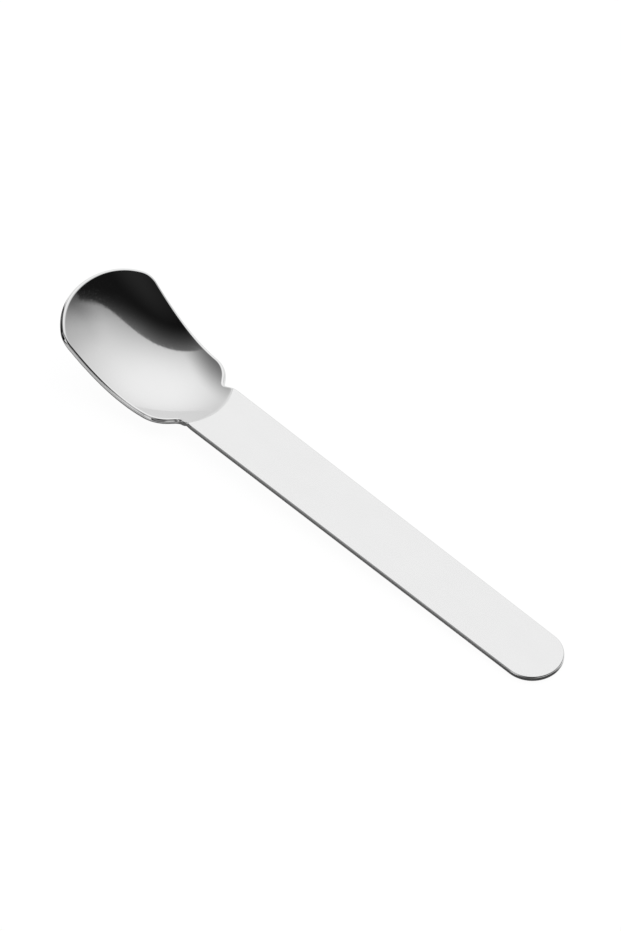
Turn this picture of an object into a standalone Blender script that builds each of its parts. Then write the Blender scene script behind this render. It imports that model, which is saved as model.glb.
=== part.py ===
"""Ice cream spoon pressed from one sheet: a flat round-ended handle and a spade-shaped bowl.

The spoon is drawn flat first, in its own frame: x runs from the tip of the bowl to the end of the
handle, y is across and z = 0 is the upper face of the handle. The finished spoon is then tilted so
that it lies on a table on the belly of its bowl and on the end of its handle.
"""
import math

import bmesh
import bpy

# Overall sizes, in metres.
SPOON_LENGTH = 0.140
SHEET = 0.0013
EDGE_ROUND = 0.0004

# Handle.
HANDLE_END_WIDTH = 0.0135
HANDLE_NECK_WIDTH = 0.0142
HANDLE_CORNER_RADIUS = 0.0066

# Neck, measured from the tip of the bowl.
HANDLE_CORNER_X = 0.0387
NOTCH_X = 0.0349
NOTCH_WIDTH = 0.0131
NOTCH_RADIUS = 0.0015

# Plan outline of the bowl, measured from its tip.
SHOULDER_X = 0.0317
SHOULDER_RADIUS = 0.0069
REAR_X = 0.0275
REAR_WIDTH = 0.0217
FRONT_X = 0.0078
FRONT_WIDTH = 0.0255
FRONT_RADIUS = 0.0147
FRONT_CORNER_RADIUS = 0.0046

# Dish of the bowl: its lowest point, its depth under the handle face, its radii at the lowest point
# and the reaches over which its walls straighten.
DISH_X = 0.0259
DISH_DEPTH = 0.00409
DISH_RADIUS = 0.0225
DISH_FRONT_REACH = 0.0288
DISH_REAR_REACH = 0.0257
DISH_CROSS_RADIUS = 0.0201
DISH_CROSS_REACH = 0.0232
CREASE_BLEND = 0.0023

# Mesh density.
ROUND_STEPS = 3
BOWL_RINGS = 13
SIDE_STEPS = 9
FRONT_STEPS = 12
CORNER_STEPS = 7
NOTCH_STEPS = 6
CREASE_STEPS = 16
END_STEPS = 28
BOWL_CENTRE_X = 0.55 * NOTCH_X

# Colours.
SATIN_STEEL = (0.62, 0.62, 0.63, 1.0)
POLISHED_STEEL = (0.66, 0.66, 0.67, 1.0)


def clear_scene():
    """Remove every object that the file starts with."""
    for old in list(bpy.data.objects):
        bpy.data.objects.remove(old, do_unlink=True)


def steel(name, colour, roughness):
    """Make one plain metal material."""
    material = bpy.data.materials.new(name)
    material.use_nodes = True
    shader = material.node_tree.nodes["Principled BSDF"]
    shader.inputs["Base Color"].default_value = colour
    shader.inputs["Metallic"].default_value = 1.0
    shader.inputs["Roughness"].default_value = roughness
    material.diffuse_color = colour
    return material


def wall_rise(distance, radius, reach):
    """Rise and slope of a wall that starts as a round of one radius and straightens over a reach."""
    root = math.hypot(1.0, distance / reach)
    return reach * reach / radius * (root - 1.0), distance / radius / root


def dish_reach(x):
    """Reach of the wall along the spoon, in front of or behind the lowest point."""
    return DISH_FRONT_REACH if x < DISH_X else DISH_REAR_REACH


def dish_height(x, y):
    """Height of the bowl's upper face over the handle face."""
    along, _ = wall_rise(x - DISH_X, DISH_RADIUS, dish_reach(x))
    across, _ = wall_rise(y, DISH_CROSS_RADIUS, DISH_CROSS_REACH)
    return along + across - DISH_DEPTH


def dish_slopes(x, y):
    """Slopes of the bowl's upper face along x and y."""
    _, along = wall_rise(x - DISH_X, DISH_RADIUS, dish_reach(x))
    _, across = wall_rise(y, DISH_CROSS_RADIUS, DISH_CROSS_REACH)
    return along, across


def crease_x(y):
    """Where the dish comes up to the handle face, behind its lowest point."""
    low = DISH_X
    high = DISH_X + 2.0 * DISH_RADIUS
    for _ in range(60):
        middle = 0.5 * (low + high)
        if dish_height(middle, y) < 0.0:
            low = middle
        else:
            high = middle
    return 0.5 * (low + high)


def bowl_point(x, y, depth):
    """Point of the bowl's sheet at a plan place and a depth under its upper face."""
    slope_x, slope_y = dish_slopes(x, y)
    share = min(max((crease_x(y) - x) / CREASE_BLEND, 0.0), 1.0)
    share = share * share * (3.0 - 2.0 * share)
    lean_x = -slope_x * share
    lean_y = -slope_y * share
    size = math.sqrt(lean_x ** 2 + lean_y ** 2 + 1.0)
    height = dish_height(x, y)
    return (x - depth * lean_x / size, y - depth * lean_y / size, height - depth / size)


def handle_point(x, y, depth):
    """Point of the flat handle sheet at a plan place and a depth under its upper face."""
    return (x, y, -depth)


def arc(centre, radius, start, end, steps):
    """Points of a circular arc, both ends included."""
    points = []
    for step in range(steps + 1):
        angle = start + (end - start) * step / steps
        points.append((centre[0] + radius * math.cos(angle), centre[1] + radius * math.sin(angle)))
    return points


def rounded_corner(before, corner, after, radius, steps):
    """Arc that rounds the corner between two straight runs."""
    ax = before[0] - corner[0]
    ay = before[1] - corner[1]
    bx = after[0] - corner[0]
    by = after[1] - corner[1]
    la = math.hypot(ax, ay)
    lb = math.hypot(bx, by)
    ax, ay, bx, by = ax / la, ay / la, bx / lb, by / lb
    opening = math.acos(max(-1.0, min(1.0, ax * bx + ay * by)))
    mx = ax + bx
    my = ay + by
    lm = math.hypot(mx, my)
    reach = radius / math.sin(0.5 * opening)
    centre = (corner[0] + mx / lm * reach, corner[1] + my / lm * reach)
    back = radius / math.tan(0.5 * opening)
    start = math.atan2(corner[1] + ay * back - centre[1], corner[0] + ax * back - centre[0])
    end = math.atan2(corner[1] + by * back - centre[1], corner[0] + bx * back - centre[0])
    turn = (end - start + math.pi) % (2.0 * math.pi) - math.pi
    return arc(centre, radius, start, start + turn, steps)


def run_between(start, end, steps):
    """Inner points of a straight run."""
    points = []
    for step in range(1, steps):
        share = step / steps
        points.append((start[0] + (end[0] - start[0]) * share, start[1] + (end[1] - start[1]) * share))
    return points


def handle_half_width(x):
    """Half the handle's width, which tapers from the neck to the end."""
    end_x = SPOON_LENGTH - 0.5 * HANDLE_END_WIDTH
    share = (end_x - x) / (end_x - HANDLE_CORNER_X)
    return 0.5 * (HANDLE_END_WIDTH + (HANDLE_NECK_WIDTH - HANDLE_END_WIDTH) * share)


def side_half_width(x):
    """Half the bowl's width on its straight, slightly flared sides."""
    share = (REAR_X - x) / (REAR_X - FRONT_X)
    return 0.5 * (REAR_WIDTH + (FRONT_WIDTH - REAR_WIDTH) * share)


def front_corner():
    """Centre of the round between a straight side and the front arc, and its two tangent angles."""
    flare = 0.5 * (FRONT_WIDTH - REAR_WIDTH) / (REAR_X - FRONT_X)
    stretch = math.sqrt(1.0 + flare * flare)
    offset = side_half_width(0.0) - FRONT_CORNER_RADIUS * stretch
    inner = FRONT_RADIUS - FRONT_CORNER_RADIUS
    a = 1.0 + flare * flare
    b = -2.0 * FRONT_RADIUS - 2.0 * flare * offset
    c = FRONT_RADIUS ** 2 + offset ** 2 - inner ** 2
    x = (-b - math.sqrt(b * b - 4.0 * a * c)) / (2.0 * a)
    y = offset - flare * x
    side_angle = math.atan2(1.0, flare)
    front_angle = math.atan2(y, x - FRONT_RADIUS)
    return (x, y), side_angle, front_angle


def neck_points():
    """Outline of one side from the handle through the neck to the bowl's straight side."""
    centre, side_angle, _ = front_corner()
    side_end = (
        centre[0] + FRONT_CORNER_RADIUS * math.cos(side_angle),
        centre[1] + FRONT_CORNER_RADIUS * math.sin(side_angle),
    )
    start_x = HANDLE_CORNER_X + 0.010
    start = (start_x, handle_half_width(start_x))
    corner = (HANDLE_CORNER_X, handle_half_width(HANDLE_CORNER_X))
    notch = (NOTCH_X, 0.5 * NOTCH_WIDTH)
    shoulder = (SHOULDER_X, side_half_width(SHOULDER_X))
    points = rounded_corner(start, corner, notch, HANDLE_CORNER_RADIUS, CORNER_STEPS)
    points += rounded_corner(corner, notch, shoulder, NOTCH_RADIUS, NOTCH_STEPS)
    points += rounded_corner(notch, shoulder, side_end, SHOULDER_RADIUS, CORNER_STEPS)
    return points


def cut_at_crease(points):
    """Split an outline at the crease: the point on the crease and the index of the next point."""
    for index in range(1, len(points)):
        x0, y0 = points[index - 1]
        x1, y1 = points[index]
        if x0 >= crease_x(y0) and x1 < crease_x(y1):
            low = 0.0
            high = 1.0
            for _ in range(60):
                share = 0.5 * (low + high)
                x = x0 + (x1 - x0) * share
                y = y0 + (y1 - y0) * share
                if x >= crease_x(y):
                    low = share
                else:
                    high = share
            return (x0 + (x1 - x0) * low, y0 + (y1 - y0) * low), index
    return points[0], 1


def bowl_outline(corner, neck, first):
    """Free edge of the bowl from one end of the crease round the front to the other end."""
    centre, side_angle, front_angle = front_corner()
    half = [corner] + neck[first:]
    rounding = arc(centre, FRONT_CORNER_RADIUS, side_angle, front_angle, CORNER_STEPS)
    half += run_between(half[-1], rounding[0], SIDE_STEPS)
    half += rounding
    front = arc((FRONT_RADIUS, 0.0), FRONT_RADIUS, front_angle, math.pi, FRONT_STEPS)
    half += front[1:]
    mirrored = [(x, -y) for x, y in reversed(half[:-1])]
    return half + mirrored


def handle_outline(corner, neck, first):
    """Free edge of the handle from one end of the crease round the end to the other."""
    half = [corner] + list(reversed(neck[:first]))
    radius = 0.5 * HANDLE_END_WIDTH
    end_x = SPOON_LENGTH - radius
    rounding = arc((end_x, 0.0), radius, 0.5 * math.pi, 0.0, END_STEPS // 2)
    half += run_between(half[-1], rounding[0], SIDE_STEPS)
    half += rounding
    mirrored = [(x, -y) for x, y in reversed(half[:-1])]
    return half + mirrored


def crease_points(corner):
    """Inner points of the crease, from the +y end to the -y end."""
    points = []
    for step in range(1, CREASE_STEPS):
        y = corner[1] * (1.0 - 2.0 * step / CREASE_STEPS)
        points.append((crease_x(y), y))
    return points


def edge_profile():
    """Inset and depth of each point across the sheet's rounded edge, upper face to lower face."""
    upper = []
    for step in range(ROUND_STEPS + 1):
        angle = 0.5 * math.pi * (1.0 - step / ROUND_STEPS)
        upper.append((EDGE_ROUND * (1.0 - math.cos(angle)), EDGE_ROUND * (1.0 - math.sin(angle))))
    lower = [(inset, SHEET - depth) for inset, depth in reversed(upper)]
    return upper + lower


def inward_directions(edge, crease):
    """Plan direction into the sheet at each point of a free edge, along the crease at its ends."""
    directions = []
    last = len(edge) - 1
    middle = (sum(p[0] for p in edge) / len(edge), 0.0)
    for index, point in enumerate(edge):
        before = edge[max(index - 1, 0)]
        after = edge[min(index + 1, last)]
        tx = after[0] - before[0]
        ty = after[1] - before[1]
        size = math.hypot(tx, ty)
        nx, ny = ty / size, -tx / size
        if nx * (middle[0] - point[0]) + ny * (middle[1] - point[1]) < 0.0:
            nx, ny = -nx, -ny
        if index in (0, last):
            target = crease[0] if index == 0 else crease[-1]
            cx = target[0] - point[0]
            cy = target[1] - point[1]
            size = math.hypot(cx, cy)
            share = (cx * nx + cy * ny) / size
            nx, ny = cx / size / share, cy / size / share
        directions.append((nx, ny))
    return directions


def sheet_body(name, edge, crease, place, rings, centre, material):
    """Build one closed sheet body from its free edge and its crease.

    The edge runs from the +y end of the crease to its -y end. Its profile is rounded. The crease
    face is left square and is shared, point for point, with the other body.
    """
    profile = edge_profile()
    directions = inward_directions(edge, crease)
    work = bmesh.new()
    edge_rows = []
    for point, inward in zip(edge, directions):
        row = []
        for inset, depth in profile:
            x = point[0] + inward[0] * inset
            y = point[1] + inward[1] * inset
            row.append(work.verts.new(place(x, y, depth)))
        edge_rows.append(row)
    back = list(reversed(crease))
    top_crease = [work.verts.new(place(x, y, 0.0)) for x, y in back]
    low_crease = [work.verts.new(place(x, y, SHEET)) for x, y in back]

    for row, following in zip(edge_rows[:-1], edge_rows[1:]):
        for step in range(len(profile) - 1):
            work.faces.new((row[step], row[step + 1], following[step + 1], following[step]))
    for step in range(len(back) - 1):
        work.faces.new((top_crease[step], low_crease[step], low_crease[step + 1], top_crease[step + 1]))
    work.faces.new([top_crease[0]] + edge_rows[-1] + [low_crease[0]])
    work.faces.new([low_crease[-1]] + list(reversed(edge_rows[0])) + [top_crease[-1]])

    inset = EDGE_ROUND
    plan = []
    for point, inward in zip(edge, directions):
        plan.append((point[0] + inward[0] * inset, point[1] + inward[1] * inset))
    plan += back
    top_ring = [row[0] for row in edge_rows] + top_crease
    low_ring = [row[-1] for row in edge_rows] + low_crease
    for ring, depth in ((top_ring, 0.0), (low_ring, SHEET)):
        outer = ring
        for step in range(1, rings):
            share = 1.0 - step / rings
            inner = []
            for x, y in plan:
                px = centre[0] + (x - centre[0]) * share
                py = centre[1] + (y - centre[1]) * share
                inner.append(work.verts.new(place(px, py, depth)))
            for index in range(len(plan)):
                other = (index + 1) % len(plan)
                work.faces.new((outer[index], outer[other], inner[other], inner[index]))
            outer = inner
        if rings > 1:
            middle = work.verts.new(place(centre[0], centre[1], depth))
            for index in range(len(plan)):
                other = (index + 1) % len(plan)
                work.faces.new((outer[index], outer[other], middle))
        else:
            work.faces.new(outer)
    bmesh.ops.recalc_face_normals(work, faces=work.faces[:])
    mesh = bpy.data.meshes.new(name)
    work.to_mesh(mesh)
    work.free()
    mesh.materials.append(material)
    body = bpy.data.objects.new(name, mesh)
    bpy.context.scene.collection.objects.link(body)
    return body


def tilted(point, angle):
    """Turn a point about the y axis, so that a positive angle lowers the handle end."""
    x, y, z = point
    return (x * math.cos(angle) + z * math.sin(angle), y, z * math.cos(angle) - x * math.sin(angle))


def rest_angle(bowl, handle):
    """Tilt that brings the belly of the bowl and the end of the handle to one level."""
    bowl_points = [tuple(v.co) for v in bowl.data.vertices]
    handle_points = [tuple(v.co) for v in handle.data.vertices]
    angle = 0.0
    for _ in range(30):
        belly = min((tilted(p, angle) for p in bowl_points), key=lambda p: p[2])
        heel = min((tilted(p, angle) for p in handle_points), key=lambda p: p[2])
        angle += (heel[2] - belly[2]) / (SPOON_LENGTH - DISH_X)
    return angle


def lay_down(bowl, handle):
    """Tilt the spoon to its rest and put the origin under the middle of its box."""
    angle = rest_angle(bowl, handle)
    points = []
    for body in (bowl, handle):
        points += [tilted(tuple(v.co), angle) for v in body.data.vertices]
    xs = [p[0] for p in points]
    ys = [p[1] for p in points]
    zs = [p[2] for p in points]
    stand = bpy.data.objects.new("spoon", None)
    bpy.context.scene.collection.objects.link(stand)
    stand.rotation_euler = (0.0, angle, 0.0)
    stand.location = (-0.5 * (min(xs) + max(xs)), -0.5 * (min(ys) + max(ys)), -min(zs))
    for body in (bowl, handle):
        body.parent = stand
    return stand


def build():
    """Build the bowl and the handle and lay the spoon down."""
    clear_scene()
    satin = steel("satin_steel", SATIN_STEEL, 0.32)
    polished = steel("polished_steel", POLISHED_STEEL, 0.08)
    neck = neck_points()
    corner, first = cut_at_crease(neck)
    crease = crease_points(corner)
    bowl = sheet_body(
        "bowl",
        bowl_outline(corner, neck, first),
        crease,
        bowl_point,
        BOWL_RINGS,
        (BOWL_CENTRE_X, 0.0),
        polished,
    )
    handle = sheet_body(
        "handle",
        handle_outline(corner, neck, first),
        crease,
        handle_point,
        1,
        (SPOON_LENGTH, 0.0),
        satin,
    )
    lay_down(bowl, handle)
    bpy.context.view_layer.update()


build()
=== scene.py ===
"""Ice cream spoon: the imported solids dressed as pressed, polished stainless steel.

The spoon is one sheet. Each region of it is cut as a flat blank in plain mesh code and is then
pressed to its dished form by one Geometry Nodes tree, as the tool in the press would do it.
"""

import logging
import math
from dataclasses import dataclass
from enum import Enum

import bmesh
import bpy
from bmesh.types import BMesh, BMLayerItem, BMVert
from bpy.types import Material, Node, NodeSocket, NodeTree, Object
from mathutils import Matrix, Vector


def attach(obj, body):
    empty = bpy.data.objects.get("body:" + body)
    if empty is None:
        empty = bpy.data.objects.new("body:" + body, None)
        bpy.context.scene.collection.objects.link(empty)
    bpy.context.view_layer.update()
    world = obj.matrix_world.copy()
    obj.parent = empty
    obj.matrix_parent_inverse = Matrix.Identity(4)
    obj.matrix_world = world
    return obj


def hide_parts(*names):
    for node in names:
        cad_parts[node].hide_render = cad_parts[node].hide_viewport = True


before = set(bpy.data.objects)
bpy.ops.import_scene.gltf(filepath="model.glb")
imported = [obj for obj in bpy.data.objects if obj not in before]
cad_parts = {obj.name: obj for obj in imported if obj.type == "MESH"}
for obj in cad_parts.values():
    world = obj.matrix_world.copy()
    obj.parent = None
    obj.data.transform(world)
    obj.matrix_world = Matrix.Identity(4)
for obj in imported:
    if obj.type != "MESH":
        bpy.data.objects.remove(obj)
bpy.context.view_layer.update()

LOG = logging.getLogger("spoon")

Plan = tuple[float, float]
Axis = tuple[float, float, float]
Place = tuple[float, float, float]
Colour = tuple[float, float, float, float]

# Steps of a search by halving, and the least length that anything is divided by.
HALVINGS = 60
LEAST_LENGTH = 1e-12


class Slot(Enum):
    """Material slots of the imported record."""

    POLISHED = "polished_steel"
    SATIN = "satin_steel"


class Operation(Enum):
    """Math node operations that the node formulas use."""

    ADD = "ADD"
    SUBTRACT = "SUBTRACT"
    MULTIPLY = "MULTIPLY"
    DIVIDE = "DIVIDE"
    ROOT = "SQRT"
    EXCEEDS = "GREATER_THAN"
    SMALLER = "MINIMUM"
    LARGER = "MAXIMUM"
    SOFT_SMALLER = "SMOOTH_MIN"


@dataclass(frozen=True)
class Ramp:
    """Smooth change from a start level to an end level while a value goes from low to high."""

    low: float
    high: float
    start: float = 0.0
    end: float = 1.0


@dataclass(frozen=True)
class SpoonSizes:
    """Sizes of the spoon in metres, from the tip of its bowl, with the handle face at z = 0."""

    length: float = 0.140
    sheet: float = 0.0013
    edge_round: float = 0.0004
    end_width: float = 0.0135
    neck_width: float = 0.0142
    handle_corner_radius: float = 0.0066
    handle_corner_x: float = 0.0387
    notch_x: float = 0.0349
    notch_width: float = 0.0131
    notch_radius: float = 0.0015
    shoulder_x: float = 0.0317
    shoulder_radius: float = 0.0069
    rear_x: float = 0.0275
    rear_width: float = 0.0217
    front_x: float = 0.0078
    front_width: float = 0.0255
    front_radius: float = 0.0147
    front_corner_radius: float = 0.0046
    dish_x: float = 0.0259
    dish_depth: float = 0.00409
    dish_radius: float = 0.0225
    dish_front_reach: float = 0.0288
    dish_rear_reach: float = 0.0257
    dish_cross_radius: float = 0.0201
    dish_cross_reach: float = 0.0232
    crease_softness: float = 0.00016
    crease_blend: float = 0.0023
    rest_tilt: float = math.radians(2.065457)
    rest_offset: Place = (-0.0697564, 0.0, 0.0063305)

    def rest_matrix(self) -> Matrix:
        """Place of the spoon as it lies on the table."""
        turn = Matrix.Rotation(self.rest_tilt, 4, "Y")
        return Matrix.Translation(Vector(self.rest_offset)) @ turn


@dataclass
class Wire:
    """One value in a node tree, which formulas combine with + - * and /."""

    tree: NodeTree
    socket: NodeSocket

    def join(self, operation: Operation, *others: "Wire | float") -> "Wire":
        """Feed this value and others to one math node.

        Args:
            operation: What the node works out.
            others: Further operands, as wires or plain numbers.

        Returns:
            The node's result.
        """
        node = self.tree.nodes.new("ShaderNodeMath")
        node.operation = operation.value
        self.tree.links.new(self.socket, node.inputs[0])
        for index, other in enumerate(others, start=1):
            if isinstance(other, Wire):
                self.tree.links.new(other.socket, node.inputs[index])
            else:
                node.inputs[index].default_value = other
        return Wire(self.tree, node.outputs[0])

    def __add__(self, other: "Wire | float") -> "Wire":
        """Sum of two values."""
        return self.join(Operation.ADD, other)

    def __sub__(self, other: "Wire | float") -> "Wire":
        """Difference of two values."""
        return self.join(Operation.SUBTRACT, other)

    def __mul__(self, other: "Wire | float") -> "Wire":
        """Product of two values."""
        return self.join(Operation.MULTIPLY, other)

    def __truediv__(self, other: "Wire | float") -> "Wire":
        """Quotient of two values."""
        return self.join(Operation.DIVIDE, other)

    def root(self) -> "Wire":
        """Square root."""
        return self.join(Operation.ROOT)

    def inverse(self) -> "Wire":
        """What is left of one."""
        return self * -1.0 + 1.0

    def step(self, ramp: Ramp) -> "Wire":
        """Follow a ramp.

        Args:
            ramp: The levels and where they change.

        Returns:
            The level at this value.
        """
        node = self.tree.nodes.new("ShaderNodeMapRange")
        node.interpolation_type = "SMOOTHSTEP"
        self.tree.links.new(self.socket, node.inputs["Value"])
        node.inputs["From Min"].default_value = ramp.low
        node.inputs["From Max"].default_value = ramp.high
        node.inputs["To Min"].default_value = ramp.start
        node.inputs["To Max"].default_value = ramp.end
        return Wire(self.tree, node.outputs["Result"])


@dataclass(frozen=True)
class SpoonPlan:
    """Plan outline of the spoon: its free edges and the crease between bowl and handle."""

    sizes: SpoonSizes
    lead_in: float = 0.010

    @staticmethod
    def wall_rise(distance: float, radius: float, reach: float) -> float:
        """Rise of a wall that starts as a round and straightens over a reach.

        Args:
            distance: Distance from the lowest point.
            radius: Radius of the round.
            reach: Distance over which the wall straightens.

        Returns:
            The rise.
        """
        return reach * reach / radius * (math.hypot(1.0, distance / reach) - 1.0)

    def dish_height(self, x: float, y: float) -> float:
        """Height of the dish over the handle face.

        Args:
            x: Distance from the tip of the bowl.
            y: Distance from the middle of the spoon.

        Returns:
            The height, below zero in the bowl.
        """
        s = self.sizes
        reach = s.dish_front_reach if x < s.dish_x else s.dish_rear_reach
        along = self.wall_rise(x - s.dish_x, s.dish_radius, reach)
        return along + self.wall_rise(y, s.dish_cross_radius, s.dish_cross_reach) - s.dish_depth

    def crease_x(self, y: float) -> float:
        """Find where the dish comes up to the handle face, by halving.

        Args:
            y: Distance from the middle of the spoon.

        Returns:
            The distance from the tip of the bowl.
        """
        low = self.sizes.dish_x
        high = low + 2.0 * self.sizes.dish_radius
        for _ in range(HALVINGS):
            middle = 0.5 * (low + high)
            if self.dish_height(middle, y) < 0.0:
                low = middle
            else:
                high = middle
        return 0.5 * (low + high)

    @staticmethod
    def arc(centre: Plan, radius: float, start: float, end: float, steps: int = 48) -> list[Plan]:
        """Points of a circular arc.

        Args:
            centre: Middle of the circle.
            radius: Radius of the circle.
            start: First angle.
            end: Last angle.
            steps: How many runs the arc is cut into.

        Returns:
            The points, both ends included.
        """
        points: list[Plan] = []
        for step in range(steps + 1):
            angle = start + (end - start) * step / steps
            x = centre[0] + radius * math.cos(angle)
            y = centre[1] + radius * math.sin(angle)
            points.append((x, y))
        return points

    def rounded(self, before: Plan, corner: Plan, after: Plan, radius: float) -> list[Plan]:
        """Arc that rounds the corner between two straight runs.

        Args:
            before: A point on the first run.
            corner: Where the runs meet.
            after: A point on the second run.
            radius: Radius of the round.

        Returns:
            The points of the arc.
        """
        point = Vector(corner)
        back = (Vector(before) - point).normalized()
        ahead = (Vector(after) - point).normalized()
        opening = math.acos(max(-1.0, min(1.0, back.dot(ahead))))
        centre = point + (back + ahead).normalized() * (radius / math.sin(0.5 * opening))
        reach = radius / math.tan(0.5 * opening)
        first = point + back * reach - centre
        last = point + ahead * reach - centre
        start = math.atan2(first.y, first.x)
        turn = (math.atan2(last.y, last.x) - start + math.pi) % (2.0 * math.pi) - math.pi
        return self.arc((centre.x, centre.y), radius, start, start + turn)

    def handle_half(self, x: float) -> float:
        """Half the handle's width, which tapers towards the end.

        Args:
            x: Distance from the tip of the bowl.

        Returns:
            The half width.
        """
        s = self.sizes
        end_x = s.length - 0.5 * s.end_width
        share = (end_x - x) / (end_x - s.handle_corner_x)
        return 0.5 * (s.end_width + (s.neck_width - s.end_width) * share)

    def side_half(self, x: float) -> float:
        """Half the bowl's width along its flared sides.

        Args:
            x: Distance from the tip of the bowl.

        Returns:
            The half width.
        """
        s = self.sizes
        share = (s.rear_x - x) / (s.rear_x - s.front_x)
        return 0.5 * (s.rear_width + (s.front_width - s.rear_width) * share)

    def front_corner(self) -> tuple[Plan, float, float]:
        """Round between a straight side and the front arc.

        Returns:
            Its centre and its two tangent angles, at the side and at the front.
        """
        s = self.sizes
        flare = 0.5 * (s.front_width - s.rear_width) / (s.rear_x - s.front_x)
        offset = self.side_half(0.0) - s.front_corner_radius * math.sqrt(1.0 + flare * flare)
        inner = s.front_radius - s.front_corner_radius
        a = 1.0 + flare * flare
        b = -2.0 * s.front_radius - 2.0 * flare * offset
        c = s.front_radius**2 + offset**2 - inner**2
        x = (-b - math.sqrt(b * b - 4.0 * a * c)) / (2.0 * a)
        y = offset - flare * x
        return (x, y), math.atan2(1.0, flare), math.atan2(y, x - s.front_radius)

    def neck(self) -> list[Plan]:
        """Outline of one side from the handle through the neck to the bowl's straight side.

        Returns:
            The points, from the handle to the bowl.
        """
        s = self.sizes
        centre, side_angle, _ = self.front_corner()
        side_end = self.arc(centre, s.front_corner_radius, side_angle, side_angle, 1)[0]
        start_x = s.handle_corner_x + self.lead_in
        start = (start_x, self.handle_half(start_x))
        corner = (s.handle_corner_x, self.handle_half(s.handle_corner_x))
        notch = (s.notch_x, 0.5 * s.notch_width)
        shoulder = (s.shoulder_x, self.side_half(s.shoulder_x))
        points = self.rounded(start, corner, notch, s.handle_corner_radius)
        points += self.rounded(corner, notch, shoulder, s.notch_radius)
        points += self.rounded(notch, shoulder, side_end, s.shoulder_radius)
        return points

    def split(self) -> tuple[list[Plan], list[Plan]]:
        """Cut the neck outline where it crosses the crease.

        Returns:
            The handle's part and the bowl's part, which share the point on the crease.
        """
        points = self.neck()
        for index in range(1, len(points)):
            first, second = Vector(points[index - 1]), Vector(points[index])
            if first.x >= self.crease_x(first.y) and second.x < self.crease_x(second.y):
                low, high = 0.0, 1.0
                for _ in range(HALVINGS):
                    share = 0.5 * (low + high)
                    here = first.lerp(second, share)
                    if here.x >= self.crease_x(here.y):
                        low = share
                    else:
                        high = share
                corner = tuple(first.lerp(second, low))
                return points[:index] + [corner], [corner] + points[index:]
        raise ValueError("the crease does not cross the neck")

    @staticmethod
    def even(points: list[Plan], count: int) -> list[Plan]:
        """Spread points evenly along a path.

        Args:
            points: The path.
            count: How many points to return.

        Returns:
            The new points, with the same first and last point.
        """
        distances = [0.0]
        for before, after in zip(points[:-1], points[1:]):
            distances.append(distances[-1] + math.dist(before, after))
        spread: list[Plan] = []
        run = 0
        for index in range(count):
            target = distances[-1] * index / (count - 1)
            while run < len(points) - 2 and distances[run + 1] < target:
                run += 1
            span = max(distances[run + 1] - distances[run], LEAST_LENGTH)
            share = min(max((target - distances[run]) / span, 0.0), 1.0)
            spread.append(tuple(Vector(points[run]).lerp(Vector(points[run + 1]), share)))
        return spread

    def bowl_edge(self, count: int) -> list[Plan]:
        """Free edge of the bowl from the +y end of the crease round the front to the -y end.

        Args:
            count: Points on each half.

        Returns:
            The points of both halves.
        """
        s = self.sizes
        centre, side_angle, front_angle = self.front_corner()
        half = self.split()[1]
        half += self.arc(centre, s.front_corner_radius, side_angle, front_angle)
        half += self.arc((s.front_radius, 0.0), s.front_radius, front_angle, math.pi)[1:]
        half = self.even(half, count)
        return half + [(x, -y) for x, y in reversed(half[:-1])]

    def handle_edge(self, count: int) -> list[Plan]:
        """Free edge of the handle from the +y end of the crease round the end to the -y end.

        Args:
            count: Points on each half.

        Returns:
            The points of both halves.
        """
        radius = 0.5 * self.sizes.end_width
        half = list(reversed(self.split()[0]))
        end_x = self.sizes.length - radius
        half += self.arc((end_x, 0.0), radius, 0.5 * math.pi, 0.0)
        half = self.even(half, count)
        return half + [(x, -y) for x, y in reversed(half[:-1])]

    def crease(self, steps: int) -> list[Plan]:
        """Inner points of the crease from its +y end to its -y end.

        Args:
            steps: How many runs the crease is cut into.

        Returns:
            The points, without the two ends.
        """
        reach = self.split()[0][-1][1]
        widths = [reach * (1.0 - 2.0 * step / steps) for step in range(1, steps)]
        return [(self.crease_x(y), y) for y in widths]


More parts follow.
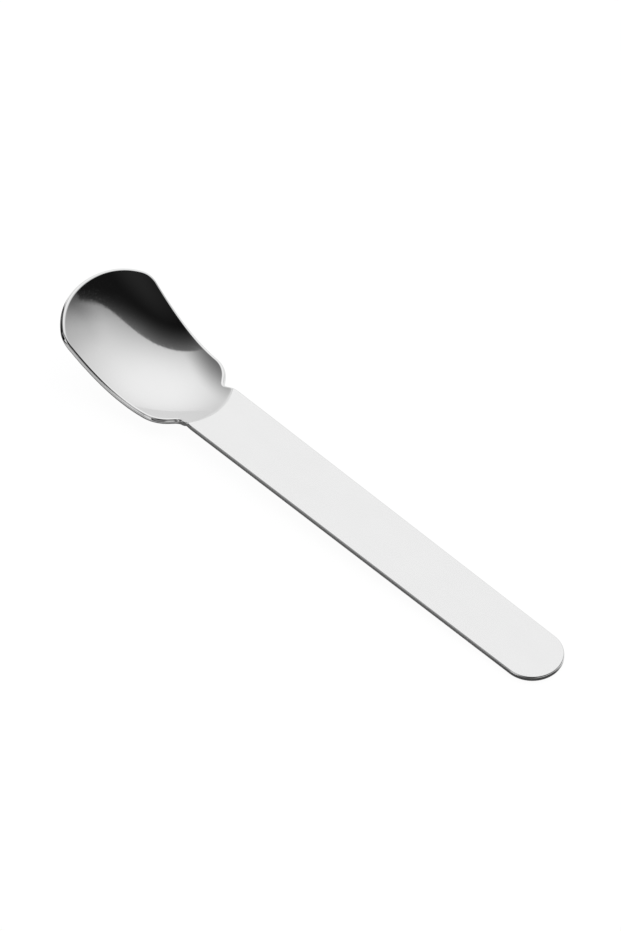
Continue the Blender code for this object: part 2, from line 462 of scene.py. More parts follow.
@dataclass
class SheetBlank:
    """A flat blank with a rounded free edge and a square cut along the crease."""

    name: str
    edge: list[Plan]
    crease: list[Plan]
    centre: Plan
    shares: list[float]
    closed: bool
    sizes: SpoonSizes
    round_steps: int = 6

    def profile(self) -> list[tuple[float, float]]:
        """Shape of the rounded edge.

        Returns:
            Inset and depth of each point across it, from the upper face to the lower face.
        """
        radius = self.sizes.edge_round
        upper = []
        for step in range(self.round_steps + 1):
            angle = 0.5 * math.pi * (1.0 - step / self.round_steps)
            upper.append((radius * (1.0 - math.cos(angle)), radius * (1.0 - math.sin(angle))))
        return upper + [(inset, self.sizes.sheet - depth) for inset, depth in reversed(upper)]

    def inward(self) -> list[Vector]:
        """Plan direction into the sheet along its free edge.

        Returns:
            One direction for each edge point, which follows the crease at both ends.
        """
        middle = Vector((sum(p[0] for p in self.edge) / len(self.edge), 0.0))
        last = len(self.edge) - 1
        directions = []
        for index, point in enumerate(self.edge):
            here = Vector(point)
            run = Vector(self.edge[min(index + 1, last)]) - Vector(self.edge[max(index - 1, 0)])
            normal = Vector((run.y, -run.x)).normalized()
            if normal.dot(middle - here) < 0.0:
                normal = -normal
            if index in (0, last):
                along = (Vector(self.crease[0 if index == 0 else -1]) - here).normalized()
                normal = along / along.dot(normal)
            directions.append(normal)
        return directions

    def build(self) -> Object:
        """Make the flat blank as a closed mesh.

        Returns:
            The blank as an object, with its edge faces marked in a face attribute.
        """
        work = bmesh.new()
        marked = work.faces.layers.bool.new("edge")
        profile = self.profile()
        rows = []
        for point, inward in zip(self.edge, self.inward()):
            row = []
            for inset, depth in profile:
                place = Vector(point) + inward * inset
                row.append(work.verts.new((place.x, place.y, -depth)))
            rows.append(row)
        back = list(reversed(self.crease))
        top_cut = [work.verts.new((x, y, 0.0)) for x, y in back]
        low_cut = [work.verts.new((x, y, -self.sizes.sheet)) for x, y in back]
        self.add_edge(work, rows, marked)
        self.add_cut(work, rows, top_cut, low_cut)
        self.add_face(work, [row[0] for row in rows] + top_cut, 0.0)
        self.add_face(work, [row[-1] for row in rows] + low_cut, self.sizes.sheet)
        bmesh.ops.recalc_face_normals(work, faces=work.faces[:])
        mesh = bpy.data.meshes.new(self.name)
        work.to_mesh(mesh)
        work.free()
        piece = bpy.data.objects.new(self.name, mesh)
        bpy.context.scene.collection.objects.link(piece)
        return piece

    @staticmethod
    def add_edge(work: BMesh, rows: list[list[BMVert]], marked: BMLayerItem) -> None:
        """Add the rounded band along the free edge.

        Args:
            work: Mesh under construction.
            rows: Points across the edge, one row for each edge point.
            marked: Face layer that marks the band.
        """
        for row, following in zip(rows[:-1], rows[1:]):
            for step in range(len(row) - 1):
                quad = (row[step], row[step + 1], following[step + 1], following[step])
                face = work.faces.new(quad)
                face.smooth = True
                face[marked] = True

    @staticmethod
    def add_cut(
        work: BMesh,
        rows: list[list[BMVert]],
        top_cut: list[BMVert],
        low_cut: list[BMVert],
    ) -> None:
        """Close the blank along the crease with flat faces, which the other region covers.

        Args:
            work: Mesh under construction.
            rows: Points across the edge, of which the first and last end at the crease.
            top_cut: Upper points of the crease.
            low_cut: Lower points of the crease.
        """
        for step in range(len(top_cut) - 1):
            work.faces.new((top_cut[step], low_cut[step], low_cut[step + 1], top_cut[step + 1]))
        work.faces.new([top_cut[0]] + rows[-1] + [low_cut[0]])
        work.faces.new([low_cut[-1]] + list(reversed(rows[0])) + [top_cut[-1]])

    def add_face(self, work: BMesh, ring: list[BMVert], depth: float) -> None:
        """Fill one side of the sheet with rings that shrink towards its centre.

        Args:
            work: Mesh under construction.
            ring: Outer ring of points.
            depth: Depth of this side under the upper face.
        """
        plan = [Vector((v.co.x, v.co.y)) for v in ring]
        centre = Vector(self.centre)
        outer = ring
        for share in self.shares:
            inner = []
            for point in plan:
                place = centre.lerp(point, share)
                inner.append(work.verts.new((place.x, place.y, -depth)))
            for index in range(len(plan)):
                other = (index + 1) % len(plan)
                quad = (outer[index], outer[other], inner[other], inner[index])
                work.faces.new(quad).smooth = True
            outer = inner
        if self.closed:
            middle = work.verts.new((centre.x, centre.y, -depth))
            for index in range(len(plan)):
                work.faces.new((outer[index], outer[(index + 1) % len(plan)], middle)).smooth = True
        else:
            work.faces.new(outer).smooth = True


class PressTree:
    """Geometry Nodes tree that presses a flat blank to the dished form and lays it down."""

    LEAST_LEAN = -0.02
    BLEND = Ramp(0.0, 1.0)
    NUMBERS = (
        "Dish Place",
        "Dish Depth",
        "Dish Radius",
        "Front Reach",
        "Rear Reach",
        "Cross Radius",
        "Cross Reach",
        "Crease Softness",
        "Crease Blend",
        "Tilt",
    )

    def __init__(self) -> None:
        """Build the tree and its named inputs."""
        self.tree = bpy.data.node_groups.new("press_sheet", "GeometryNodeTree")
        self.tree.is_modifier = True
        face = self.tree.interface
        face.new_socket("Geometry", in_out="OUTPUT", socket_type="NodeSocketGeometry")
        face.new_socket("Geometry", in_out="INPUT", socket_type="NodeSocketGeometry")
        kinds = dict.fromkeys(self.NUMBERS, "NodeSocketFloat")
        kinds["Rest Place"] = "NodeSocketVector"
        kinds["Face Finish"] = kinds["Edge Finish"] = "NodeSocketMaterial"
        self.keys: dict[str, str] = {}
        for name, kind in kinds.items():
            self.keys[name] = face.new_socket(name, in_out="INPUT", socket_type=kind).identifier
        self.source: Node = self.tree.nodes.new("NodeGroupInput")
        self.wire_up()

    def value(self, name: str) -> Wire:
        """Named input of the tree as a wire."""
        return Wire(self.tree, self.source.outputs[name])

    @staticmethod
    def wall(distance: Wire, radius: Wire, reach: Wire) -> tuple[Wire, Wire]:
        """Wall that starts as a round and straightens over a reach.

        Args:
            distance: Distance from the lowest point.
            radius: Radius of the round.
            reach: Distance over which the wall straightens.

        Returns:
            Its rise and its slope.
        """
        ratio = distance / reach
        root = (ratio * ratio + 1.0).root()
        return (root - 1.0) * reach * reach / radius, distance / radius / root

    def wire_up(self) -> None:
        """Write the pressing rule in nodes."""
        nodes, links = self.tree.nodes, self.tree.links
        place = nodes.new("GeometryNodeInputPosition")
        parts = nodes.new("ShaderNodeSeparateXYZ")
        links.new(place.outputs["Position"], parts.inputs["Vector"])
        x, y, z = (Wire(self.tree, parts.outputs[axis]) for axis in "XYZ")
        along = self.value("Dish Place") - x
        in_front = along.join(Operation.EXCEEDS, 0.0)
        rear_reach = self.value("Rear Reach")
        reach = rear_reach + (self.value("Front Reach") - rear_reach) * in_front
        rise, lean = self.wall(along, self.value("Dish Radius"), reach)
        cross, cross_lean = self.wall(y, self.value("Cross Radius"), self.value("Cross Reach"))
        height = rise + cross - self.value("Dish Depth")
        ahead = along.join(Operation.LARGER, 0.0)
        ceiling = ahead * ahead / self.value("Dish Radius")
        gap = height - ceiling
        softness = self.value("Crease Softness")
        level = (height + ceiling - (gap * gap + softness * softness).root()) * 0.5
        away = gap / lean.join(Operation.SMALLER, self.LEAST_LEAN) / self.value("Crease Blend")
        share = away.step(self.BLEND)
        lean_x = lean * share
        lean_y = cross_lean * share * -1.0
        size = (lean_x * lean_x + lean_y * lean_y + 1.0).root()
        joined = nodes.new("ShaderNodeCombineXYZ")
        links.new((x + z * lean_x / size).socket, joined.inputs["X"])
        links.new((y + z * lean_y / size).socket, joined.inputs["Y"])
        links.new((level + z / size).socket, joined.inputs["Z"])
        self.finish_tree(joined.outputs["Vector"])

    def finish_tree(self, pressed: NodeSocket) -> None:
        """Lay the pressed points down, then realize and set the two finishes.

        Args:
            pressed: Position of each point in the spoon's own frame.
        """
        nodes, links = self.tree.nodes, self.tree.links
        turn = nodes.new("ShaderNodeVectorRotate")
        turn.rotation_type = "Y_AXIS"
        links.new(pressed, turn.inputs["Vector"])
        links.new(self.source.outputs["Tilt"], turn.inputs["Angle"])
        move = nodes.new("ShaderNodeVectorMath")
        move.operation = "ADD"
        links.new(turn.outputs["Vector"], move.inputs[0])
        links.new(self.source.outputs["Rest Place"], move.inputs[1])
        set_place = nodes.new("GeometryNodeSetPosition")
        links.new(self.source.outputs["Geometry"], set_place.inputs["Geometry"])
        links.new(move.outputs["Vector"], set_place.inputs["Position"])
        real = nodes.new("GeometryNodeRealizeInstances")
        links.new(set_place.outputs["Geometry"], real.inputs["Geometry"])
        faces = nodes.new("GeometryNodeSetMaterial")
        links.new(real.outputs["Geometry"], faces.inputs["Geometry"])
        links.new(self.source.outputs["Face Finish"], faces.inputs["Material"])
        marked = nodes.new("GeometryNodeInputNamedAttribute")
        marked.data_type = "BOOLEAN"
        marked.inputs["Name"].default_value = "edge"
        edges = nodes.new("GeometryNodeSetMaterial")
        links.new(faces.outputs["Geometry"], edges.inputs["Geometry"])
        links.new(marked.outputs["Attribute"], edges.inputs["Selection"])
        links.new(self.source.outputs["Edge Finish"], edges.inputs["Material"])
        sink = nodes.new("NodeGroupOutput")
        links.new(edges.outputs["Geometry"], sink.inputs["Geometry"])

    def press(
        self,
        blank: Object,
        sizes: SpoonSizes,
        face: Material,
        edge: Material,
    ) -> Object:
        """Press one blank and leave a plain mesh.

        Args:
            blank: The flat blank.
            sizes: Sizes of the spoon.
            face: Finish of the two sides of the sheet.
            edge: Finish of the rounded edge.

        Returns:
            The same object with the pressed mesh and no modifier.
        """
        values = {
            "Dish Place": sizes.dish_x,
            "Dish Depth": sizes.dish_depth,
            "Dish Radius": sizes.dish_radius,
            "Front Reach": sizes.dish_front_reach,
            "Rear Reach": sizes.dish_rear_reach,
            "Cross Radius": sizes.dish_cross_radius,
            "Cross Reach": sizes.dish_cross_reach,
            "Crease Softness": sizes.crease_softness,
            "Crease Blend": sizes.crease_blend,
            "Tilt": sizes.rest_tilt,
            "Rest Place": sizes.rest_offset,
            "Face Finish": face,
            "Edge Finish": edge,
        }
        modifier = blank.modifiers.new("press", "NODES")
        modifier.node_group = self.tree
        for name, value in values.items():
            modifier[self.keys[name]] = value
        graph = bpy.context.evaluated_depsgraph_get()
        pressed = bpy.data.meshes.new_from_object(blank.evaluated_get(graph))
        blank.modifiers.remove(modifier)
        flat = blank.data
        blank.data = pressed
        bpy.data.meshes.remove(flat)
        return blank


class SurfaceGroups:
    """Shader node groups that the steel finishes share."""

    NOISE_ROUGHNESS = 0.55
    CLOUD_STRETCH: Plan = (0.6, 1.0)
    CLOUD_RAMP = Ramp(0.3, 0.7)
    GRAIN_STRETCH: Plan = (0.06, 1.0)
    GRAIN_RAMP = Ramp(0.25, 0.75)
    LINE_STRETCH: Plan = (0.05, 1.0)
    LINE_RAMP = Ramp(0.62, 0.74)
    LINE_TURNS = (0.5, 1.5, 2.7)

    def __init__(self) -> None:
        """Build each group once."""
        self.mottle = self.build_mottle()
        self.hairlines = self.build_hairlines()

    @staticmethod
    def new_group(name: str, inputs: dict[str, float], outputs: list[str]) -> NodeTree:
        """Start a shader group.

        Args:
            name: Name of the group.
            inputs: Named inputs and their usual values.
            outputs: Names of the values that it puts out.

        Returns:
            The group with its sockets.
        """
        group = bpy.data.node_groups.new(name, "ShaderNodeTree")
        for key, value in inputs.items():
            socket = group.interface.new_socket(key, in_out="INPUT", socket_type="NodeSocketFloat")
            socket.default_value = value
        for key in outputs:
            group.interface.new_socket(key, in_out="OUTPUT", socket_type="NodeSocketFloat")
        return group

    def stretched_noise(
        self,
        group: NodeTree,
        source: Node,
        scale_name: str,
        stretch: Plan,
        turn: float,
        detail: float,
    ) -> Wire:
        """Noise on Object coordinates, drawn out along one direction.

        Args:
            group: Group to build in.
            source: The group's input node.
            scale_name: Input that sets the scale.
            stretch: Scale along and across the direction.
            turn: Angle of the direction about z.
            detail: Octaves of the noise.

        Returns:
            The noise value.
        """
        nodes, links = group.nodes, group.links
        coordinates = nodes.new("ShaderNodeTexCoord")
        mapping = nodes.new("ShaderNodeMapping")
        mapping.inputs["Rotation"].default_value = (0.0, 0.0, turn)
        mapping.inputs["Scale"].default_value = (stretch[0], stretch[1], stretch[1])
        links.new(coordinates.outputs["Object"], mapping.inputs["Vector"])
        noise = nodes.new("ShaderNodeTexNoise")
        noise.inputs["Detail"].default_value = detail
        noise.inputs["Roughness"].default_value = self.NOISE_ROUGHNESS
        links.new(mapping.outputs["Vector"], noise.inputs["Vector"])
        links.new(source.outputs[scale_name], noise.inputs["Scale"])
        return Wire(group, noise.outputs["Fac"])

    def build_mottle(self) -> NodeTree:
        """Soft cloudy unevenness that rolling and polishing leave in sheet steel.

        Returns:
            The group, which puts out the clouds and the grain.
        """
        scales = {"Cloud Scale": 160.0, "Grain Scale": 900.0}
        group = self.new_group("steel_mottle", scales, ["Cloud", "Grain"])
        source = group.nodes.new("NodeGroupInput")
        sink = group.nodes.new("NodeGroupOutput")
        cloud = self.stretched_noise(
            group, source, "Cloud Scale", self.CLOUD_STRETCH, turn=0.0, detail=3.0
        )
        grain = self.stretched_noise(
            group, source, "Grain Scale", self.GRAIN_STRETCH, turn=0.0, detail=2.0
        )
        group.links.new(cloud.step(self.CLOUD_RAMP).socket, sink.inputs["Cloud"])
        group.links.new(grain.step(self.GRAIN_RAMP).socket, sink.inputs["Grain"])
        return group

    def build_hairlines(self) -> NodeTree:
        """Sparse fine scratches from polishing and use, in three directions.

        Returns:
            The group, which puts out the scratches.
        """
        group = self.new_group("steel_hairlines", {"Line Scale": 700.0}, ["Lines"])
        source = group.nodes.new("NodeGroupInput")
        sink = group.nodes.new("NodeGroupOutput")
        total: Wire | None = None
        for turn in self.LINE_TURNS:
            noise = self.stretched_noise(
                group, source, "Line Scale", self.LINE_STRETCH, turn=turn, detail=1.0
            )
            line = noise.step(self.LINE_RAMP)
            total = line if total is None else total.join(Operation.LARGER, line)
        group.links.new(total.socket, sink.inputs["Lines"])
        return group


@dataclass(frozen=True)
class SteelFinish:
    """One finish of stainless steel."""

    name: str
    colour: Colour
    smooth: float
    rough: float
    grain_height: float
    line_height: float
    cloud_scale: float
    grain_scale: float
    line_scale: float
    dull_share: float = 0.985
    cloud_share: float = 0.6
    grain_share: float = 0.4
    scratch_rough: float = 0.04

    def material(self, groups: SurfaceGroups) -> Material:
        """Build the finish as a node material.

        Args:
            groups: The shared surface groups.

        Returns:
            The material.
        """
        material = bpy.data.materials.new(self.name)
        material.use_nodes = True
        tree = material.node_tree
        shader = tree.nodes["Principled BSDF"]
        shader.inputs["Metallic"].default_value = 1.0
        mottle = tree.nodes.new("ShaderNodeGroup")
        mottle.node_tree = groups.mottle
        mottle.inputs["Cloud Scale"].default_value = self.cloud_scale
        mottle.inputs["Grain Scale"].default_value = self.grain_scale
        lines = tree.nodes.new("ShaderNodeGroup")
        lines.node_tree = groups.hairlines
        lines.inputs["Line Scale"].default_value = self.line_scale
        cloud = Wire(tree, mottle.outputs["Cloud"])
        grain = Wire(tree, mottle.outputs["Grain"])
        scratch = Wire(tree, lines.outputs["Lines"])
        tint = tree.nodes.new("ShaderNodeMix")
        tint.data_type = "RGBA"
        dull = tuple(self.dull_share * part for part in self.colour[:3])
        tint.inputs["A"].default_value = dull + (1.0,)
        tint.inputs["B"].default_value = self.colour
        tree.links.new(cloud.socket, tint.inputs["Factor"])
        tree.links.new(tint.outputs["Result"], shader.inputs["Base Color"])
        uneven = cloud * self.cloud_share + grain * self.grain_share
        roughness = uneven * (self.rough - self.smooth) + self.smooth
        roughness = roughness + scratch * self.scratch_rough
        tree.links.new(roughness.socket, shader.inputs["Roughness"])
        height = grain * self.grain_height - scratch * self.line_height
        bump = tree.nodes.new("ShaderNodeBump")
        bump.inputs["Strength"].default_value = 1.0
        bump.inputs["Distance"].default_value = 1.0
        tree.links.new(height.socket, bump.inputs["Height"])
        tree.links.new(bump.outputs["Normal"], shader.inputs["Normal"])
        return material


STEEL: Colour = (0.77, 0.77, 0.77, 1.0)
POLISHED = SteelFinish(
    name="polished_steel",
    colour=STEEL,
    smooth=0.04,
    rough=0.07,
    grain_height=6.0e-8,
    line_height=6.0e-7,
    cloud_scale=140.0,
    grain_scale=900.0,
    line_scale=2400.0,
)
SATIN = SteelFinish(
    name="satin_steel",
    colour=STEEL,
    smooth=0.14,
    rough=0.18,
    grain_height=1.0e-7,
    line_height=1.0e-7,
    cloud_scale=180.0,
    grain_scale=1100.0,
    line_scale=620.0,
)
EDGE = SteelFinish(
    name="polished_edge",
    colour=STEEL,
    smooth=0.03,
    rough=0.05,
    grain_height=1.0e-7,
    line_height=0.0,
    cloud_scale=300.0,
    grain_scale=1500.0,
    line_scale=800.0,
)


@dataclass
class Bowl:
    """The dished end of the spoon."""

    sizes: SpoonSizes
    plan: SpoonPlan
    edge_points: int = 190
    crease_steps: int = 20
    centre_share: float = 0.55
    outer_shares: tuple[float, ...] = (0.996, 0.99, 0.98, 0.966, 0.948, 0.925)
    inner_shares: tuple[float, ...] = (0.05, 0.025, 0.01)
    ring_count: int = 22

    def blank(self) -> SheetBlank:
        """Lay out the flat blank of the bowl.

        Returns:
            The blank, whose rings lie closer together at the rim and in the middle.
        """
        first = self.outer_shares[-1]
        run = self.inner_shares[0] - first
        rings = [first + run * step / self.ring_count for step in range(1, self.ring_count)]
        return SheetBlank(
            name="bowl_shell",
            edge=self.plan.bowl_edge(self.edge_points),
            crease=self.plan.crease(self.crease_steps),
            centre=(self.centre_share * self.sizes.notch_x, 0.0),
            shares=[*self.outer_shares, *rings, *self.inner_shares],
            closed=True,
            sizes=self.sizes,
        )

    def build(self, press: PressTree, face: Material, edge: Material) -> Object:
        """Press the bowl and put it in place of its solid.

        Args:
            press: The pressing tree.
            face: Finish of the sheet.
            edge: Finish of the rim.

        Returns:
            The finished piece.
        """
        piece = press.press(self.blank().build(), self.sizes, face, edge)
        self.dress(piece)
        return piece

    @staticmethod
    def dress(piece: Object) -> None:
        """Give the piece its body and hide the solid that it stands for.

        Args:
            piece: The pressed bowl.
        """
        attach(piece, "root")
        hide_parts("bowl")


@dataclass
class Handle:
    """The flat handle of the spoon."""

    sizes: SpoonSizes
    plan: SpoonPlan
    edge_points: int = 300
    crease_steps: int = 20
    outer_shares: tuple[float, ...] = (0.9985, 0.997, 0.995, 0.9925, 0.989)
    inner_shares: tuple[float, ...] = (0.984, 0.977, 0.965, 0.945, 0.91)

    def blank(self) -> SheetBlank:
        """Lay out the flat blank of the handle.

        Returns:
            The blank, whose rings lie along its edge and leave one flat face inside.
        """
        return SheetBlank(
            name="handle_strip",
            edge=self.plan.handle_edge(self.edge_points),
            crease=self.plan.crease(self.crease_steps),
            centre=(0.5 * (self.sizes.handle_corner_x + self.sizes.length), 0.0),
            shares=[*self.outer_shares, *self.inner_shares],
            closed=False,
            sizes=self.sizes,
        )

    def build(self, press: PressTree, face: Material, edge: Material) -> Object:
        """Press the handle and put it in place of its solid.

        Args:
            press: The pressing tree.
            face: Finish of the sheet.
            edge: Finish of the edge.

        Returns:
            The finished piece.
        """
        piece = press.press(self.blank().build(), self.sizes, face, edge)
        self.dress(piece)
        return piece

    @staticmethod
    def dress(piece: Object) -> None:
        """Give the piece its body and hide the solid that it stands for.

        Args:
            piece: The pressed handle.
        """
        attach(piece, "root")
        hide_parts("handle")


@dataclass
class Floor:
    """White floor, shown to metal white beyond the spoon and in painted shade on the camera's side.
    """

    reach: float = 4.0
    colour: Colour = (0.12, 0.12, 0.12, 1.0)
    glow: float = 0.95
    mirrored: float = 0.96
    # Ramps of the painted shade and painted light that metal sees on the floor.
    beyond: Ramp = Ramp(-0.0001, 0.0058)
    beside: Ramp = Ramp(-0.0497, -0.0092, 0.616, 0.135)
    before_tip: Ramp = Ramp(-0.088, -0.074, 0.56, 1.0)
    past_end: Ramp = Ramp(0.05, 0.068, 1.0, 0.525)
    away: Ramp = Ramp(-0.08, -0.045, 1.0, 0.0)
    strip_start: Ramp = Ramp(-0.1146, -0.0746)
    strip_end: Ramp = Ramp(-0.0498, -0.0098, 1.0, 0.0)
    strip_level: float = 0.507

    def shading(self, tree: NodeTree) -> Wire:
        """Level of the floor as metal shows it: painted shade beside the spoon and a painted light
        strip.

        Args:
            tree: Node tree of the floor's material.

        Returns:
            The level at each place.
        """
        place = tree.nodes.new("ShaderNodeTexCoord")
        parts = tree.nodes.new("ShaderNodeSeparateXYZ")
        tree.links.new(place.outputs["Object"], parts.inputs["Vector"])
        along = Wire(tree, parts.outputs["X"])
        across = Wire(tree, parts.outputs["Y"])
        # Painted shade on the floor beside the spoon, before its tip and past its end, seen only by
        # metal.
        shade = across.step(self.beside) * along.step(self.before_tip) * along.step(self.past_end)
        # Painted light: a brighter strip further out on the camera's side.
        strip = along.step(self.strip_start) * along.step(self.strip_end) * self.strip_level
        shade = shade + (strip - shade) * across.step(self.away)
        return shade + (shade * -1.0 + self.mirrored) * across.step(self.beyond)

    def material(self) -> Material:
        """Make the floor white for the camera, with the spoon's shadow, and in painted shade and
        light for metal.

        Returns:
            The material.
        """
        material = bpy.data.materials.new("floor_white")
        material.use_nodes = True
        tree = material.node_tree
        tree.nodes.clear()
        path = tree.nodes.new("ShaderNodeLightPath")
        seen = Wire(tree, path.outputs["Is Camera Ray"])
        seen = seen.join(Operation.LARGER, Wire(tree, path.outputs["Is Transmission Ray"]))
        shade = tree.nodes.new("ShaderNodeBsdfDiffuse")
        shade.inputs["Color"].default_value = self.colour
        glow = tree.nodes.new("ShaderNodeEmission")
        tree.links.new((seen * self.glow).socket, glow.inputs["Strength"])
        plain = tree.nodes.new("ShaderNodeAddShader")
        tree.links.new(shade.outputs["BSDF"], plain.inputs[0])
        tree.links.new(glow.outputs["Emission"], plain.inputs[1])
        # Painted shade and light of the floor, which only glossy rays see.
        mirror = tree.nodes.new("ShaderNodeEmission")
        tree.links.new(self.shading(tree).socket, mirror.inputs["Strength"])
        both = tree.nodes.new("ShaderNodeMixShader")
        tree.links.new(path.outputs["Is Glossy Ray"], both.inputs["Fac"])
        tree.links.new(plain.outputs["Shader"], both.inputs[1])
        tree.links.new(mirror.outputs["Emission"], both.inputs[2])
        out = tree.nodes.new("ShaderNodeOutputMaterial")
        tree.links.new(both.outputs["Shader"], out.inputs["Surface"])
        return material

    def build(self) -> Object:
        """Lay the floor at the level on which the spoon lies.

        Returns:
            The floor object.
        """
        low, high = -self.reach, self.reach
        corners = [(low, low, 0.0), (high, low, 0.0), (high, high, 0.0), (low, high, 0.0)]
        mesh = bpy.data.meshes.new("floor")
        mesh.from_pydata(corners, [], [range(len(corners))])
        mesh.materials.append(self.material())
        board = bpy.data.objects.new("floor", mesh)
        bpy.context.scene.collection.objects.link(board)
        return board


@dataclass(frozen=True)
class SoftLight:
    """A soft light round an axis of the spoon, which a limit can fade out upwards."""

    axis: Axis
    spread: Ramp
    limit: Ramp | None = None
    limit_axis: Axis | None = None


@dataclass
class Surroundings:
    """A broad light beyond the spoon, softer ones round it and a dark room behind the camera."""

    sizes: SpoonSizes
    front_limit: Axis = (-0.529, 0.846, 0.073)
    front_place: float = 0.0051
    right_limit: Axis = (-0.740, 0.218, 0.636)
    right_place: float = -0.0434
    limit_blend: float = 0.2245
    border: Ramp = Ramp(-0.012, 0.012)
    horizon_rise: Ramp = Ramp(0.465, 0.489, 1.0, 0.0)
    horizon_front: Ramp = Ramp(0.183, 0.42)
    light_axis: Axis = (-0.401, 0.584, 0.706)
    light_fall: Ramp = Ramp(0.0337, 1.0413)
    fade_axis: Axis = (0.373, 0.907, 0.195)
    fade: Ramp = Ramp(-0.3591, 0.0065, 0.23, 1.0)
    corner_right: Ramp = Ramp(-0.0644, 0.1278, 1.0, 0.0)
    corner_front: Ramp = Ramp(0.1347, 0.4473, 0.35, 1.0)
    dim_right: Ramp = Ramp(0.0969, 0.264, 1.0, 0.0)
    dim_rise: Ramp = Ramp(0.4341, 0.6583, 0.1725, 0.0)
    light_level: float = 1.10
    sill: SoftLight = SoftLight(
        axis=(-0.188, -0.982, -0.007),
        spread=Ramp(0.9561, 0.9685, 0.0, 0.963),
        limit=Ramp(0.169, 0.3385, 1.0, 0.0),
    )
    window: SoftLight = SoftLight(
        axis=(-0.187, -0.743, 0.643), spread=Ramp(0.8791, 1.0419, 0.0, 0.985)
    )
    end_light: SoftLight = SoftLight(
        axis=(0.99, -0.14, 0.0),
        spread=Ramp(0.70, 0.97, 0.0, 0.75),
        limit=Ramp(0.40, 0.47, 1.0, 0.0),
    )
    side_light: SoftLight = SoftLight(
        axis=(0.80, 0.55, 0.25),
        spread=Ramp(0.92, 0.98, 0.0, 0.40),
        limit=Ramp(0.56, 0.64, 1.0, 0.0),
        limit_axis=(0.0, 0.40, 0.92),
    )
    near_light: SoftLight = SoftLight(
        axis=(0.561, -0.801, 0.208),
        spread=Ramp(0.82, 0.97, 0.0, 0.22),
        limit=Ramp(0.38, 0.48, 1.0, 0.0),
    )
    rear_light: SoftLight = SoftLight(
        axis=(-0.694, -0.583, 0.423), spread=Ramp(0.93, 0.985, 0.0, 0.14)
    )
    spill_reach: float = 0.322
    spill: Ramp = Ramp(-0.0752, 0.2369, 0.0, 0.173)
    room_near: Ramp = Ramp(-0.5, -0.27, 0.0149, 0.0)
    room_level: float = 0.0084
    room_side: Ramp = Ramp(-0.6, -0.2, 0.2, 1.0)

    def along(self, source: NodeSocket, axis: Axis) -> Wire:
        """How far a direction points along an axis of the spoon.

        Args:
            source: The direction.
            axis: The axis in the spoon's own frame.

        Returns:
            The cosine between them.
        """
        tree = source.id_data
        node = tree.nodes.new("ShaderNodeVectorMath")
        node.operation = "DOT_PRODUCT"
        tree.links.new(source, node.inputs[0])
        turn = Matrix.Rotation(self.sizes.rest_tilt, 3, "Y")
        node.inputs[1].default_value = turn @ Vector(axis).normalized()
        return Wire(tree, node.outputs["Value"])

    def soft(self, ray: NodeSocket, rise: Wire, light: SoftLight) -> Wire:
        """Brightness of one soft light.

        Args:
            ray: The direction that is looked along.
            rise: How steeply it goes up.
            light: The light.

        Returns:
            The brightness.
        """
        level = self.along(ray, light.axis).step(light.spread)
        if light.limit is None:
            return level
        height = self.along(ray, light.limit_axis) if light.limit_axis else rise
        return height.step(light.limit) * level

    def level(self, ray: NodeSocket) -> Wire:
        """Brightness of the surroundings.

        Args:
            ray: The direction that is looked along.

        Returns:
            The brightness.
        """
        tree = ray.id_data
        parts = tree.nodes.new("ShaderNodeSeparateXYZ")
        tree.links.new(ray, parts.inputs["Vector"])
        rise = Wire(tree, parts.outputs["Z"])
        across = Wire(tree, parts.outputs["Y"])
        front = self.along(ray, self.front_limit) + self.front_place
        right = self.along(ray, self.right_limit) + self.right_place
        inside = front.join(Operation.SOFT_SMALLER, right, self.limit_blend).step(self.border)
        horizon = rise.step(self.horizon_rise) * front.step(self.horizon_front)
        inside = inside.join(Operation.LARGER, horizon)
        lit = inside * self.along(ray, self.light_axis).step(self.light_fall)
        lit = lit * self.along(ray, self.fade_axis).step(self.fade)
        lit = lit * (right.step(self.corner_right) * front.step(self.corner_front)).inverse()
        lit = lit * (right.step(self.dim_right) * rise.step(self.dim_rise)).inverse()
        lit = lit * self.light_level
        spill = front.join(Operation.SMALLER, 0.0) / self.spill_reach + 1.0
        spill = spill.join(Operation.LARGER, 0.0)
        spill = spill * spill * right.step(self.spill) * inside.inverse()
        for light in (
            self.sill,
            self.window,
            self.end_light,
            self.side_light,
            self.near_light,
            self.rear_light,
        ):
            lit = lit.join(Operation.LARGER, self.soft(ray, rise, light))
        room = (front.step(self.room_near) + self.room_level) * across.step(self.room_side)
        return lit + spill + room

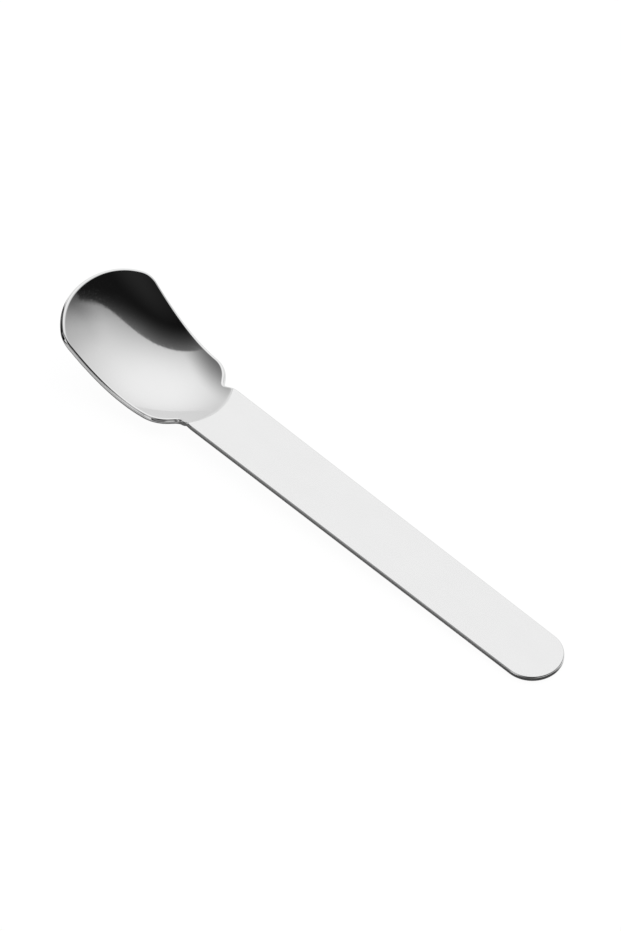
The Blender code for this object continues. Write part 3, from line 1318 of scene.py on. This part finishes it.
    def build(self) -> None:
        """Make the world, which the camera itself sees as white."""
        world = bpy.data.worlds.new("studio")
        bpy.context.scene.world = world
        world.use_nodes = True
        tree = world.node_tree
        tree.nodes.clear()
        light = self.level(tree.nodes.new("ShaderNodeTexCoord").outputs["Generated"])
        path = tree.nodes.new("ShaderNodeLightPath")
        camera = Wire(tree, path.outputs["Is Camera Ray"])
        background = tree.nodes.new("ShaderNodeBackground")
        background.inputs["Color"].default_value = (1.0, 1.0, 1.0, 1.0)
        tree.links.new(light.join(Operation.LARGER, camera).socket, background.inputs["Strength"])
        out = tree.nodes.new("ShaderNodeOutputWorld")
        tree.links.new(background.outputs["Background"], out.inputs["Surface"])


@dataclass
class PhotoCamera:
    """Long lens at the photograph's angle to the spoon."""

    sizes: SpoonSizes
    distance: float = 6.0
    pixels_per_metre: float = 4755.5
    image_height: float = 931.0
    sensor: float = 36.0
    clip_end: float = 50.0
    look_at: Place = (0.06441, 0.00325, 0.0)
    towards: Axis = (0.4527, -0.4526, 0.7682)
    up: Axis = (-0.5434, 0.5430, 0.6402)

    def build(self) -> Object:
        """Place the camera and make it the scene's own.

        Returns:
            The camera.
        """
        rest = self.sizes.rest_matrix()
        back = (rest.to_3x3() @ Vector(self.towards)).normalized()
        above = (rest.to_3x3() @ Vector(self.up)).normalized()
        side = above.cross(back).normalized()
        above = back.cross(side)
        target = rest @ Vector(self.look_at)
        data = bpy.data.cameras.new("photo_camera")
        data.sensor_width = self.sensor
        data.lens = self.pixels_per_metre * self.distance * self.sensor / self.image_height
        data.clip_end = self.clip_end
        eye = bpy.data.objects.new("photo_camera", data)
        turn = Matrix((side, above, back)).transposed().to_4x4()
        eye.matrix_world = Matrix.Translation(target + back * self.distance) @ turn
        bpy.context.scene.collection.objects.link(eye)
        bpy.context.scene.camera = eye
        return eye


def main() -> None:
    """Build the spoon, then the studio, and report each piece."""
    logging.basicConfig(level=logging.INFO, format="%(name)s: %(message)s")
    bpy.context.scene.view_settings.view_transform = "Standard"
    sizes = SpoonSizes()
    plan = SpoonPlan(sizes)
    groups = SurfaceGroups()
    press = PressTree()
    polished = POLISHED.material(groups)
    satin = SATIN.material(groups)
    edge = EDGE.material(groups)
    bowl = Bowl(sizes, plan).build(press, polished, edge)
    handle = Handle(sizes, plan).build(press, satin, edge)
    for piece in (bowl, handle):
        LOG.info("%s: %d faces", piece.name, len(piece.data.polygons))
    for staged in (Floor().build(), PhotoCamera(sizes).build()):
        LOG.info("stage: %s", staged.name)
    Surroundings(sizes).build()


if __name__ == "__main__":
    main()
